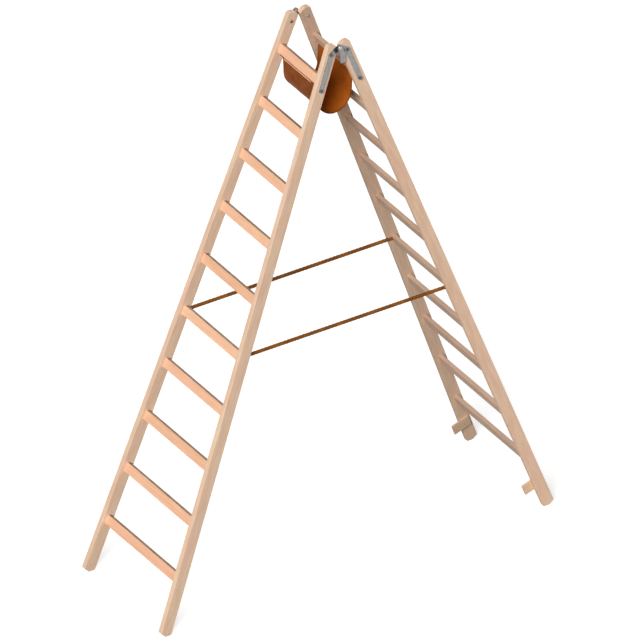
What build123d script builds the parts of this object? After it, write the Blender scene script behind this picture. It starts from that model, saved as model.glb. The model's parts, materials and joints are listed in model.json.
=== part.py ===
from build123d import *

import os
from math import acos, atan, atan2, cos, degrees, pi, radians, sin

# Double-sided wooden rung ladder: two frames hinged at the top, two check ropes and a leather tool pouch.
# Millimetres. X runs along the rungs, Y from the front frame to the rear frame, Z up from the floor.
# The origin lies on the floor, midway between the four feet.

# Stance of the frames
LEAN = 20.0  # each frame from upright when the ladder stands open, degrees
HINGE_HEIGHT = 2797.0  # hinge axis above the floor
EDGE_GAP = 3.0  # hinge plane to the inner edge of a stile
TOP_WIDTH = 367.0  # over both stiles, level with the hinge axis
FOOT_WIDTH = 687.0  # over both stiles, at the floor

# Stiles
STILE_DEPTH = 58.0
STILE_THICKNESS = 28.0
STILE_ROUND = 1.5  # eased long edges
CROWN_ABOVE_HINGE = 5.5  # crown of the rounded top, measured along the stile
CROWN_RISE = 13.5  # height of the rounded top over its shoulders
FOOT_FLAT = 31.0  # length that stands on the floor
FOOT_RISE = 22.0  # height of the cut corner on the outer side

# Rungs, evenly spaced from the top one to the lowest
RUNG_COUNT = 10
FIRST_RUNG = 186.5  # hinge axis down to the middle of the top rung
LOWEST_RUNG = 271.0  # middle of the lowest rung down to the foot, along the stile
RUNG_HEIGHT = 48.5
RUNG_DEPTH = 20.0
RUNG_ROUND = 1.5
TENON_HEIGHT = 32.0
TENON_DEPTH = 12.0
TENON_LENGTH = 20.0

# Hinge plates: on each side a flat one, and a bent one that passes outside it
PLATE_THICKNESS = 4.0
STRAP_WIDTH = 25.0
UPPER_BOLT = 42.0  # hinge axis down to the bolt, along the stile
LOWER_SCREW = 224.0  # hinge axis down to the coach screw
STRAP_END = 11.5  # strap beyond the coach screw
EYE_RADIUS = 13.0
HEAD_RADIUS = 15.0  # plate around the upper bolt
TAB_DROP = 85.0  # upright tab of the bent plate, below the hinge axis
TAB_WIDTH = 29.0
TAB_ROUND = 5.0
TAB_ROOT = 30.0  # the tab leaves the plate this far below the hinge axis
PLATE_RELIEF = 0.6  # flat plate thinned past the inner edge of its stile, clear of the other stile
JOGGLE_LENGTH = 6.5  # sloping stretch of the bent plate beside its strap
PIN_RADIUS = 5.0
PIN_HEAD_RADIUS = 9.0
PIN_HEAD_HEIGHT = 5.0
PIN_TAIL_RADIUS = 6.0
PIN_TAIL_HEIGHT = 3.0
THRUST_WASHER_RADIUS = 11.0
THRUST_WASHER = 1.0
PLATE_PLAY = 0.6  # thrust washer to the bent plate, and plates to the ends of the pin
PIN_PLAY = 0.05  # radial, in both eyes

# Fasteners of the hinge plates
BOLT_RADIUS = 4.0
BOLT_HEAD_RADIUS = 9.0
BOLT_HEAD_HEIGHT = 4.5
HEX_ACROSS_FLATS = 13.0
NUT_HEIGHT = 6.5
BOLT_STANDOUT = 3.0  # thread past the nut
SCREW_HEAD_HEIGHT = 5.5
SCREW_LENGTH = 22.0  # in the stile
WASHER_RADIUS = 8.5
WASHER_THICKNESS = 1.6
DOME_ROUND = 0.7  # share of a domed head's height that is rounded
FIT = 0.05  # radial, around driven and threaded shanks

# Check ropes, let into the corner between stile and rung
ROPE_RUNG = 6  # counted from the top
ROPE_DIAMETER = 18.0
ROPE_LET_IN = 1.0  # middle of the rope past the stile's inner face
ROPE_SOCKET = 1.0  # end of the rope sunk into the rung
ROPE_NAIL_BACK = 11.0  # nail from the end of the rope
ROPE_NAIL_RADIUS = 1.5
ROPE_NAIL_HEAD_RADIUS = 4.0
ROPE_NAIL_HEAD_HEIGHT = 1.2
ROPE_NAIL_BITE = 12.0  # nail in the stile, past the rope
SOFT_GAP = 0.3  # room left around rope and leather

# Leather tool pouch and its battens
LEATHER = 3.0
POUCH_WIDTH = 292.0
POUCH_DEPTH = 195.0  # rung's lower face down to the lowest leather
POUCH_RADIUS = 85.0  # rounded bottom
POUCH_HANG = 4.0  # leather bends down this far inside the middle of the rung
BATTEN_LENGTH = 230.0
BATTEN_THICKNESS = 5.0
BATTEN_ROUND = 1.0
NAIL_COUNT = 5
NAIL_EDGE = 15.0  # end nails from the ends of the batten
NAIL_RADIUS = 1.2
NAIL_HEAD_RADIUS = 2.6
NAIL_HEAD_HEIGHT = 1.0
NAIL_BITE = 14.0  # nail in the rung

# Guide blocks on the rear frame
BLOCK_ABOVE_FOOT = 119.0  # foot up to the middle of the block, along the stile
BLOCK_HEIGHT = 53.0
BLOCK_LENGTH = 94.0
BLOCK_REACH = 48.0  # past the inner edge of the stile
BLOCK_THICKNESS = 12.0
BLOCK_RELIEF = 1.5  # the reaching part stands clear of the other frame's stile
BLOCK_ROUND = 1.5
BLOCK_SCREW_SPACING = 24.0
BLOCK_SCREW_RADIUS = 2.5
BLOCK_SCREW_HEAD_RADIUS = 5.0
BLOCK_SCREW_HEAD_HEIGHT = 2.5
BLOCK_SCREW_BITE = 18.0  # screw in the stile

# A frame has its own coordinates: x along the rungs, up along the frame from the hinge axis, out from the
# hinge plane to the outer side. The rear frame is the front frame turned half round.
SIN_LEAN = sin(radians(LEAN))
COS_LEAN = cos(radians(LEAN))
FRONT = Plane(origin=(0, 0, HINGE_HEIGHT), x_dir=(1, 0, 0), z_dir=(0, -COS_LEAN, SIN_LEAN))
REAR = Plane(origin=(0, 0, HINGE_HEIGHT), x_dir=(-1, 0, 0), z_dir=(0, COS_LEAN, SIN_LEAN))

INNER_EDGE = EDGE_GAP
OUTER_EDGE = EDGE_GAP + STILE_DEPTH
MIDDLE = EDGE_GAP + STILE_DEPTH / 2
STILE_DROP = (HINGE_HEIGHT + INNER_EDGE * SIN_LEAN) / COS_LEAN
TAPER = (FOOT_WIDTH - TOP_WIDTH) / 2 / STILE_DROP
TAPER_ANGLE = atan(TAPER)
INNER_FACE = -STILE_THICKNESS * cos(TAPER_ANGLE)
RUNG_PITCH = (STILE_DROP - LOWEST_RUNG - FIRST_RUNG) / (RUNG_COUNT - 1)
RUNG_LEVELS = [-(FIRST_RUNG + k * RUNG_PITCH) for k in range(RUNG_COUNT)]

# The right-hand stile's outer face: first coordinate out, second down the stile, third away from the wood.
SIDE = Plane(
    origin=(TOP_WIDTH / 2, 0, 0),
    x_dir=(0, 0, 1),
    z_dir=(cos(TAPER_ANGLE), sin(TAPER_ANGLE), 0),
)


def half_width(up):
    """Middle of the frame to a stile's outer face, at a height above the hinge axis."""
    return TOP_WIDTH / 2 - TAPER * up


def inner_half_width(up):
    """Middle of the frame to a stile's inner face, at a height above the hinge axis."""
    return half_width(up) - STILE_THICKNESS


def level_above_floor(out, rise):
    """Height along the frame of a point that lies a rise above the floor."""
    return (rise - HINGE_HEIGHT - out * SIN_LEAN) / COS_LEAN


def front_point(up, out):
    """Y and Z of a point of the front frame."""
    return (up * SIN_LEAN - out * COS_LEAN, HINGE_HEIGHT + up * COS_LEAN + out * SIN_LEAN)


def frame_point(y, z):
    """Up and out, in the front frame, of a point given by Y and Z."""
    drop = z - HINGE_HEIGHT
    return (y * SIN_LEAN + drop * COS_LEAN, drop * SIN_LEAN - y * COS_LEAN)


def mirrored(shape):
    """The same piece on the other side of the frame."""
    return mirror(shape, about=Plane.YZ)


def group(shapes):
    """Separate solids that share one node."""
    return Compound([solid for shape in shapes for solid in shape.solids()])


def both_sides(shape):
    """A piece and its mirror image as one group."""
    return group([shape, mirrored(shape)])


def rod(radius, start, end, position=(0, 0)):
    """Round bar along the third coordinate, from start to end."""
    bar = Cylinder(radius, end - start, align=(Align.CENTER, Align.CENTER, Align.MIN))
    return Pos(position[0], position[1], start) * bar


def cross_rod(radius, start, end, up=0.0, out=0.0):
    """Round bar along x, from start to end."""
    return Pos(start, up, out) * Rot(0, 90, 0) * rod(radius, 0, end - start)


def dome(radius, height):
    """Disc whose upper edge is well rounded."""
    disc = rod(radius, 0, height)
    return fillet(disc.edges().sort_by(Axis.Z)[-1], DOME_ROUND * height)


def hex_bar(height):
    """Hexagon bar standing on the origin."""
    return extrude(RegularPolygon(HEX_ACROSS_FLATS / 2, 6, major_radius=False), height)


def ring(radius, bore, thickness):
    """Flat washer standing on the origin."""
    return rod(radius, 0, thickness) - rod(bore, 0, thickness)


def tapered_board(top, bottom, outer_inset, inner_inset, low, high):
    """Board beside or in the right-hand stile, whose faces follow the stile's taper.

    The insets are measured along x from the stile's outer face, and the board lies between out = low and high.
    """
    outline = Polyline(
        (half_width(top) - outer_inset, top),
        (half_width(bottom) - outer_inset, bottom),
        (half_width(bottom) - inner_inset, bottom),
        (half_width(top) - inner_inset, top),
        close=True,
    )
    return Pos(0, 0, low) * extrude(make_face(outline), high - low)


def plain_stile():
    """Right-hand stile with its rounded top and cut foot, before its joints are cut."""
    shoulder = CROWN_ABOVE_HINGE - CROWN_RISE
    inner_foot = (level_above_floor(INNER_EDGE, 0), INNER_EDGE)
    flat_end = (inner_foot[0] - FOOT_FLAT * SIN_LEAN, INNER_EDGE + FOOT_FLAT * COS_LEAN)
    outer_foot = (level_above_floor(OUTER_EDGE, FOOT_RISE), OUTER_EDGE)
    inner_shoulder = (shoulder, INNER_EDGE)
    outer_shoulder = (shoulder, OUTER_EDGE)
    outline = Curve() + [
        Polyline(inner_shoulder, inner_foot, flat_end, outer_foot, outer_shoulder),
        ThreePointArc(outer_shoulder, (CROWN_ABOVE_HINGE, MIDDLE), inner_shoulder),
    ]
    profile = extrude(Plane.YZ * make_face(outline), FOOT_WIDTH)
    top = CROWN_ABOVE_HINGE + STILE_DEPTH
    bottom = -STILE_DROP - STILE_DEPTH
    stile = profile & tapered_board(top, bottom, 0, STILE_THICKNESS, 0, OUTER_EDGE + STILE_DEPTH)
    long_edges = stile.edges().filter_by(lambda edge: edge.length > STILE_DROP / 2)
    return fillet(long_edges, STILE_ROUND)


def tenon(level):
    """Bar through the rung whose two ends are its tenons."""
    reach = inner_half_width(level) + TENON_LENGTH
    return Pos(0, level, MIDDLE) * Box(2 * reach, TENON_HEIGHT, TENON_DEPTH)


def plain_rung(level):
    """Flat rung on edge, with ends that follow the stiles' inner faces."""
    top = level + RUNG_HEIGHT / 2
    bottom = level - RUNG_HEIGHT / 2
    outline = Polyline(
        (inner_half_width(top), top),
        (inner_half_width(bottom), bottom),
        (-inner_half_width(bottom), bottom),
        (-inner_half_width(top), top),
        close=True,
    )
    board = Pos(0, 0, MIDDLE - RUNG_DEPTH / 2) * extrude(make_face(outline), RUNG_DEPTH)
    board = fillet(board.edges().filter_by(Axis.X), RUNG_ROUND)
    return board + tenon(level)


# Rope line: level with the middle of the roped rung, at the corner between rung and stile
ROPE_LEVEL = RUNG_LEVELS[ROPE_RUNG - 1]
ROPE_X = inner_half_width(ROPE_LEVEL) + ROPE_LET_IN
ROPE_RADIUS = ROPE_DIAMETER / 2
ROPE_HEIGHT = front_point(ROPE_LEVEL, MIDDLE)[1]
ROPE_REACH = -front_point(ROPE_LEVEL, MIDDLE)[0] - RUNG_DEPTH / 2 / COS_LEAN + ROPE_SOCKET


def rope_bar(radius, half_length, x):
    """Round bar along Y on a rope's line."""
    return Pos(x, 0, ROPE_HEIGHT) * Rot(90, 0, 0) * rod(radius, -half_length, half_length)


def rope_bore():
    """Room for the right-hand rope's end, in frame coordinates."""
    return FRONT.location.inverse() * rope_bar(ROPE_RADIUS + SOFT_GAP, ROPE_REACH, ROPE_X)


def rope_nail(radius, head_radius):
    """Right-hand nail, driven from inside the frame through the rope's end into the stile."""
    up, out = frame_point(ROPE_NAIL_BACK - ROPE_REACH, ROPE_HEIGHT)
    seat = ROPE_X - ROPE_RADIUS - SOFT_GAP
    nail = cross_rod(radius, seat, ROPE_X + ROPE_RADIUS + ROPE_NAIL_BITE, up, out)
    return nail + cross_rod(head_radius, seat - ROPE_NAIL_HEAD_HEIGHT, seat, up, out)


def rope(x):
    """Taut rope between the two roped rungs, with a hole at each end for its nail."""
    line = rope_bar(ROPE_RADIUS, ROPE_REACH - SOFT_GAP, x)
    hole_radius = ROPE_NAIL_RADIUS + SOFT_GAP
    holes = both_sides(rope_nail(hole_radius, hole_radius))
    for frame in (FRONT, REAR):
        line -= frame.location * holes
    return line


def stile_with_joints():
    """Right-hand stile with mortises, bolt hole, screw hole, and the groove and nail hole for the rope."""
    stile = plain_stile()
    for level in RUNG_LEVELS:
        stile -= tenon(level)
    hole_radius = BOLT_RADIUS + FIT
    stile -= SIDE.location * rod(hole_radius, 2 * INNER_FACE, -INNER_FACE, (MIDDLE, UPPER_BOLT))
    stile -= SIDE.location * rod(hole_radius, -SCREW_LENGTH, -INNER_FACE, (MIDDLE, LOWER_SCREW))
    stile -= rope_bore()
    return stile - rope_nail(ROPE_NAIL_RADIUS + FIT, ROPE_NAIL_RADIUS + FIT)


# Heights over the stile's outer face of the layers of the hinge
JOGGLE = PLATE_THICKNESS + THRUST_WASHER + PLATE_PLAY
HINGE_STACK = JOGGLE + PLATE_THICKNESS + PLATE_PLAY
STRAP_INNER_EDGE = MIDDLE - STRAP_WIDTH / 2
STRAP_TIP = LOWER_SCREW + STRAP_END


def round_at(radius, out, down):
    """Circle on the stile's side."""
    return Pos(out, down) * Circle(radius)


def hull_of(circles):
    """Outline stretched round some circles."""
    return make_hull([edge for circle in circles for edge in circle.edges()])


def strap():
    """Strip down the stile with a round end."""
    straight_end = STRAP_TIP - STRAP_WIDTH / 2
    strip = Pos(MIDDLE, (UPPER_BOLT + straight_end) / 2) * Rectangle(STRAP_WIDTH, straight_end - UPPER_BOLT)
    return strip + round_at(STRAP_WIDTH / 2, MIDDLE, straight_end)


def with_plate_holes(plate):
    """Hinge plate with its bolt hole, screw hole and the bore of its eye."""
    for down in (UPPER_BOLT, LOWER_SCREW):
        plate -= rod(BOLT_RADIUS + FIT, -HINGE_STACK, HINGE_STACK, (MIDDLE, down))
    eye_bore = cross_rod(PIN_RADIUS + PIN_PLAY, TOP_WIDTH / 2 - HINGE_STACK, TOP_WIDTH / 2 + 2 * HINGE_STACK)
    return SIDE.location * plate - eye_bore


def flat_plate():
    """Flat hinge plate: an eye and the strap."""
    web = hull_of([Circle(EYE_RADIUS), round_at(HEAD_RADIUS, MIDDLE, UPPER_BOLT)])
    plate = extrude(web + strap(), PLATE_THICKNESS)
    beyond_edge = Box(STILE_DEPTH, 2 * LOWER_SCREW, 2 * PLATE_RELIEF)
    return with_plate_holes(plate - Pos(INNER_EDGE - STILE_DEPTH / 2, 0, 0) * beyond_edge)


def tab_round(across, drop):
    """Round corner of the tab, placed across from and below the hinge axis while the ladder stands open."""
    return round_at(TAB_ROUND, across * COS_LEAN - drop * SIN_LEAN, across * SIN_LEAN + drop * COS_LEAN)


def bent_plate():
    """Hinge plate joggled outwards beside its strap, so that its eye and its upright tab pass the flat plate."""
    root = tab_round(TAB_ROUND, TAB_ROOT)
    web = hull_of([Circle(EYE_RADIUS), root, round_at(HEAD_RADIUS, MIDDLE, UPPER_BOLT)])
    tip = TAB_DROP - TAB_ROUND
    other_edge = TAB_WIDTH - TAB_ROUND
    tab = hull_of([root, tab_round(other_edge, TAB_ROOT), tab_round(TAB_ROUND, tip), tab_round(other_edge, tip)])
    outline = web + tab + strap()
    raised_edge = STRAP_INNER_EDGE - JOGGLE_LENGTH
    section = Polyline(
        (-STRAP_TIP, JOGGLE),
        (raised_edge, JOGGLE),
        (STRAP_INNER_EDGE, 0),
        (STRAP_TIP, 0),
        (STRAP_TIP, PLATE_THICKNESS),
        (STRAP_INNER_EDGE, PLATE_THICKNESS),
        (raised_edge, JOGGLE + PLATE_THICKNESS),
        (-STRAP_TIP, JOGGLE + PLATE_THICKNESS),
        close=True,
    )
    bent_sheet = extrude(Plane.XZ * make_face(section), 2 * STRAP_TIP, both=True)
    return with_plate_holes(extrude(outline, JOGGLE + PLATE_THICKNESS) & bent_sheet)


def hinge_pin():
    """Right-hand pin: domed head outside the bent plate, riveted tail inside the flat plate."""
    tail = TOP_WIDTH / 2 - PLATE_PLAY
    head = TOP_WIDTH / 2 + HINGE_STACK
    pin = cross_rod(PIN_RADIUS, tail, head)
    pin += Pos(head, 0, 0) * Rot(0, 90, 0) * dome(PIN_HEAD_RADIUS, PIN_HEAD_HEIGHT)
    pin += Pos(tail, 0, 0) * Rot(0, -90, 0) * dome(PIN_TAIL_RADIUS, PIN_TAIL_HEIGHT)
    return pin


def thrust_washer():
    """Washer on the flat plate, around the pin."""
    washer = SIDE.location * rod(THRUST_WASHER_RADIUS, PLATE_THICKNESS, PLATE_THICKNESS + THRUST_WASHER)
    return washer - cross_rod(PIN_RADIUS + SOFT_GAP, TOP_WIDTH / 2 - JOGGLE, TOP_WIDTH / 2 + 2 * JOGGLE)


def carriage_bolt():
    """Bolt through stile and plate, with its domed head on the stile's inner face."""
    end = PLATE_THICKNESS + WASHER_THICKNESS + NUT_HEIGHT + BOLT_STANDOUT
    bolt = rod(BOLT_RADIUS, INNER_FACE, end)
    bolt += Pos(0, 0, INNER_FACE) * Rot(180, 0, 0) * dome(BOLT_HEAD_RADIUS, BOLT_HEAD_HEIGHT)
    return SIDE.location * Pos(MIDDLE, UPPER_BOLT, 0) * bolt


def bolt_nut():
    """Hexagon nut over its washer."""
    nut = hex_bar(NUT_HEIGHT) - rod(BOLT_RADIUS + FIT, 0, NUT_HEIGHT)
    return SIDE.location * Pos(MIDDLE, UPPER_BOLT, PLATE_THICKNESS + WASHER_THICKNESS) * nut


def coach_screw():
    """Hexagon-headed screw that holds the lower end of a strap."""
    seat = PLATE_THICKNESS + WASHER_THICKNESS
    screw = rod(BOLT_RADIUS, -SCREW_LENGTH, seat) + Pos(0, 0, seat) * hex_bar(SCREW_HEAD_HEIGHT)
    return SIDE.location * Pos(MIDDLE, LOWER_SCREW, 0) * screw


def strap_washers():
    """Washers under the nut and under the coach screw's head."""
    washer = ring(WASHER_RADIUS, BOLT_RADIUS + FIT, WASHER_THICKNESS)
    return group(
        SIDE.location * Pos(MIDDLE, down, PLATE_THICKNESS) * washer for down in (UPPER_BOLT, LOWER_SCREW)
    )


# Lower face of the top rung, and the leather and batten below it
RUNG_FACE = RUNG_LEVELS[0] - RUNG_HEIGHT / 2
RUNG_OUTER = MIDDLE + RUNG_DEPTH / 2
LEATHER_TOP = RUNG_FACE - SOFT_GAP
BATTEN_TOP = LEATHER_TOP - LEATHER - SOFT_GAP
BATTEN_BOTTOM = BATTEN_TOP - BATTEN_THICKNESS
LEATHER_BEND = MIDDLE - POUCH_HANG
BATTEN_INNER = LEATHER_BEND + LEATHER
NAIL_OUT = (BATTEN_INNER + RUNG_OUTER) / 2


def batten_nails(radius, head_radius):
    """Row of nails up through batten and leather into the top rung."""
    start = BATTEN_BOTTOM - NAIL_HEAD_HEIGHT
    nail = rod(radius, 0, RUNG_FACE + NAIL_BITE - start) + rod(head_radius, 0, NAIL_HEAD_HEIGHT)
    half_row = BATTEN_LENGTH / 2 - NAIL_EDGE
    step = 2 * half_row / (NAIL_COUNT - 1)
    return group(
        Pos(k * step - half_row, start, NAIL_OUT) * Rot(-90, 0, 0) * nail for k in range(NAIL_COUNT)
    )


def batten():
    """Slim wooden strip that clamps the leather under the top rung."""
    width = RUNG_OUTER - BATTEN_INNER
    strip = Box(BATTEN_LENGTH, BATTEN_THICKNESS, width)
    strip = fillet(strip.edges().filter_by(Axis.X), BATTEN_ROUND)
    strip = Pos(0, BATTEN_TOP - BATTEN_THICKNESS / 2, BATTEN_INNER + width / 2) * strip
    return strip - batten_nails(NAIL_RADIUS + FIT, NAIL_RADIUS + FIT)


def pouch():
    """Leather sling: a flange under each top rung, two straight walls and a round bottom."""
    level = LEATHER_TOP - LEATHER / 2
    flange = front_point(level, RUNG_OUTER)
    bend = front_point(level, LEATHER_BEND)
    lowest = front_point(RUNG_FACE, MIDDLE)[1] - POUCH_DEPTH + LEATHER / 2
    centre = lowest + POUCH_RADIUS
    distance = ((bend[1] - centre) ** 2 + bend[0] ** 2) ** 0.5
    touch = atan2(bend[1] - centre, -bend[0]) - acos(POUCH_RADIUS / distance)
    wall_end = (-POUCH_RADIUS * cos(touch), centre + POUCH_RADIUS * sin(touch))
    other_wall_end = (-wall_end[0], wall_end[1])
    other_bend = (-bend[0], bend[1])
    path = Wire(
        [
            Line(flange, bend),
            Line(bend, wall_end),
            ThreePointArc(wall_end, (0, lowest), other_wall_end),
            Line(other_wall_end, other_bend),
            Line(other_bend, (-flange[0], flange[1])),
        ]
    )
    outline = path.offset_2d(LEATHER / 2, kind=Kind.INTERSECTION, side=Side.BOTH, closed=True)
    sling = extrude(Plane.YZ * make_face(outline.edges()), POUCH_WIDTH / 2, both=True)
    holes = batten_nails(NAIL_RADIUS + SOFT_GAP, NAIL_RADIUS + SOFT_GAP)
    for frame in (FRONT, REAR):
        sling -= frame.location * holes
    return sling


BLOCK_LEVEL = BLOCK_ABOVE_FOOT - STILE_DROP
BLOCK_TOP = BLOCK_LEVEL + BLOCK_HEIGHT / 2
BLOCK_BOTTOM = BLOCK_LEVEL - BLOCK_HEIGHT / 2
BLOCK_TIP = INNER_EDGE - BLOCK_REACH
BLOCK_BACK = BLOCK_TIP + BLOCK_LENGTH


def block_screws(radius, head_radius):
    """Two screws through the right-hand guide block into the stile."""
    start = INNER_FACE - BLOCK_THICKNESS * cos(TAPER_ANGLE)
    screw = rod(radius, start, INNER_FACE + BLOCK_SCREW_BITE)
    screw += Pos(0, 0, start) * Rot(180, 0, 0) * dome(head_radius, BLOCK_SCREW_HEAD_HEIGHT)
    middle = (INNER_EDGE + BLOCK_BACK) / 2
    down = -BLOCK_LEVEL / cos(TAPER_ANGLE)
    return group(
        SIDE.location * Pos(middle + offset, down, 0) * screw
        for offset in (-BLOCK_SCREW_SPACING / 2, BLOCK_SCREW_SPACING / 2)
    )


def guide_block():
    """Board on the stile's inner face that reaches in between the front stiles when the ladder is folded."""
    inset = STILE_THICKNESS + BLOCK_THICKNESS
    block = tapered_board(BLOCK_TOP, BLOCK_BOTTOM, STILE_THICKNESS, inset, BLOCK_TIP, BLOCK_BACK)
    block = fillet(block.edges().filter_by(Axis.Z), BLOCK_ROUND)
    relief = STILE_THICKNESS + BLOCK_RELIEF
    block -= tapered_board(BLOCK_TOP, BLOCK_BOTTOM, 0, relief, BLOCK_TIP, INNER_EDGE)
    return block - block_screws(BLOCK_SCREW_RADIUS + FIT, BLOCK_SCREW_RADIUS + FIT)


def rung(number, level):
    """Rung by its number from the top, with the holes that the pouch's nails and the ropes need."""
    board = plain_rung(level)
    if number == 1:
        board -= batten_nails(NAIL_RADIUS + FIT, NAIL_RADIUS + FIT)
    if number == ROPE_RUNG:
        board -= both_sides(rope_bore())
    return board


os.makedirs("parts", exist_ok=True)


def save(shape, node):
    """Write one node."""
    export_step(shape, f"parts/{node}.step")


def save_frame(name, frame, right, left, stile):
    """Write the nodes of one frame, whose right-hand and left-hand sides have these names."""
    save(frame.location * stile, f"{name}_{right}_stile")
    save(frame.location * mirrored(stile), f"{name}_{left}_stile")
    save(frame.location * flat_plate(), f"{name}_{right}_hinge_plate")
    save(frame.location * mirrored(bent_plate()), f"{name}_{left}_hinge_plate")
    for number, level in enumerate(RUNG_LEVELS, start=1):
        save(frame.location * rung(number, level), f"{name}_rung_{number:02d}")
    save(frame.location * both_sides(carriage_bolt()), f"{name}_carriage_bolts")
    save(frame.location * both_sides(bolt_nut()), f"{name}_bolt_nuts")
    save(frame.location * both_sides(coach_screw()), f"{name}_coach_screws")
    save(frame.location * both_sides(strap_washers()), f"{name}_strap_washers")
    save(frame.location * both_sides(rope_nail(ROPE_NAIL_RADIUS, ROPE_NAIL_HEAD_RADIUS)), f"{name}_rope_nails")
    save(frame.location * batten(), f"{name}_pouch_batten")
    save(frame.location * batten_nails(NAIL_RADIUS, NAIL_HEAD_RADIUS), f"{name}_batten_nails")


front_stile = stile_with_joints()
rear_stile = front_stile - block_screws(BLOCK_SCREW_RADIUS + FIT, BLOCK_SCREW_RADIUS + FIT)
save_frame("front", FRONT, "near", "far", front_stile)
save_frame("rear", REAR, "far", "near", rear_stile)

# The far hinge is the near hinge turned half round, so each frame carries one flat and one bent plate.
for side_name, frame in (("near", FRONT), ("far", REAR)):
    save(frame.location * hinge_pin(), f"{side_name}_hinge_pin")
    save(frame.location * thrust_washer(), f"{side_name}_thrust_washer")

save(REAR.location * guide_block(), "far_guide_block")
save(REAR.location * mirrored(guide_block()), "near_guide_block")
all_block_screws = both_sides(block_screws(BLOCK_SCREW_RADIUS, BLOCK_SCREW_HEAD_RADIUS))
save(REAR.location * all_block_screws, "guide_block_screws")

save(rope(ROPE_X), "near_rope")
save(rope(-ROPE_X), "far_rope")
save(pouch(), "tool_pouch")

rope_length = 2 * (ROPE_REACH - SOFT_GAP)
print(f"rope: {rope_length:.1f} mm long, section times length {pi * ROPE_RADIUS ** 2 * rope_length:.0f} mm3")
print(f"rungs {RUNG_PITCH:.2f} mm apart, frame taper {degrees(TAPER_ANGLE):.2f} degrees a side")
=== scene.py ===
# %% [markdown]
# # A wooden double ladder, dressed in Blender
# The ladder has two tapered frames with ten rungs each. Steel hinges join them at the top, two
# taut check ropes stop them from sliding apart, and a leather tool pouch hangs in a sling under
# the two top rungs. The solid pieces arrive as finished shapes in metres, so this lesson only
# makes what is soft, gives every surface its finish, and sets up the light and the camera.

# %% Load the solid pieces
import json
import math

import bpy
import numpy as np
from mathutils import Matrix, Vector


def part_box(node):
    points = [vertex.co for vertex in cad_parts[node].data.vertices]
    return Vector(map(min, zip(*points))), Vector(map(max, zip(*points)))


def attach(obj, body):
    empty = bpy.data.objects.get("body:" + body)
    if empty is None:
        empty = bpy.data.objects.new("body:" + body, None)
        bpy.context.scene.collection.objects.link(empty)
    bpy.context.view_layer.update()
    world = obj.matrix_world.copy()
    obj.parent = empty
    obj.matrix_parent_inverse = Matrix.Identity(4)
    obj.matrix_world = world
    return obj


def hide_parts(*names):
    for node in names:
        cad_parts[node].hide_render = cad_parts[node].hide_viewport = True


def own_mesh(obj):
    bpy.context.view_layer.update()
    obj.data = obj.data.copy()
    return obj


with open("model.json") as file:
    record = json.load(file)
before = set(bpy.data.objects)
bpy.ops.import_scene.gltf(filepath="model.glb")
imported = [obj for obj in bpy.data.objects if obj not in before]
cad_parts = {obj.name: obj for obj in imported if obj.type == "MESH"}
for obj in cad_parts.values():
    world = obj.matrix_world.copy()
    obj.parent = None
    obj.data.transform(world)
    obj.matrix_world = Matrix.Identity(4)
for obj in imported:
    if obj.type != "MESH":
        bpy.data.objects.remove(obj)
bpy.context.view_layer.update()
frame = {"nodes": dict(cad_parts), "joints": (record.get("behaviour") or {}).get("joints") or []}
print("solid pieces:", len(frame["nodes"]))

# %% [markdown]
# ## Camera
# The picture of the real ladder shows no perspective: its parallel edges stay parallel. A camera
# of the ORTHO type draws such a view, and its only size is the height of the field it sees. A
# very long lens would come close, but it would still narrow the ladder a little towards the top.

# %% Parallel camera
VIEW_AZIMUTH = math.radians(57.52)
VIEW_ELEVATION = math.radians(32.85)
VIEW_CENTRE = Vector((0.1801, -0.1020, 1.3266))
VIEW_HEIGHT = 2.960
CAMERA_DISTANCE = 8.0

towards_camera = Vector((
    math.cos(VIEW_ELEVATION) * math.sin(VIEW_AZIMUTH),
    -math.cos(VIEW_ELEVATION) * math.cos(VIEW_AZIMUTH),
    math.sin(VIEW_ELEVATION),
))
camera_data = bpy.data.cameras.new("camera")
camera_data.type = "ORTHO"
camera_data.ortho_scale = VIEW_HEIGHT
camera = bpy.data.objects.new("camera", camera_data)
camera.location = VIEW_CENTRE + CAMERA_DISTANCE * towards_camera
camera.rotation_euler = towards_camera.to_track_quat("Z", "Y").to_euler()
bpy.context.scene.collection.objects.link(camera)
bpy.context.scene.camera = camera
print("camera looks from", [round(value, 3) for value in towards_camera])

# %% [markdown]
# ## Surfaces from arrays
# Every new piece here is a grid of points: rows follow its length, columns go across it. Numpy
# works out the whole grid at once, and one helper turns grids into a mesh. It could be done with
# a loop over vertices, but a formula on arrays is shorter, and it can be checked against the
# shape that it describes.


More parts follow.
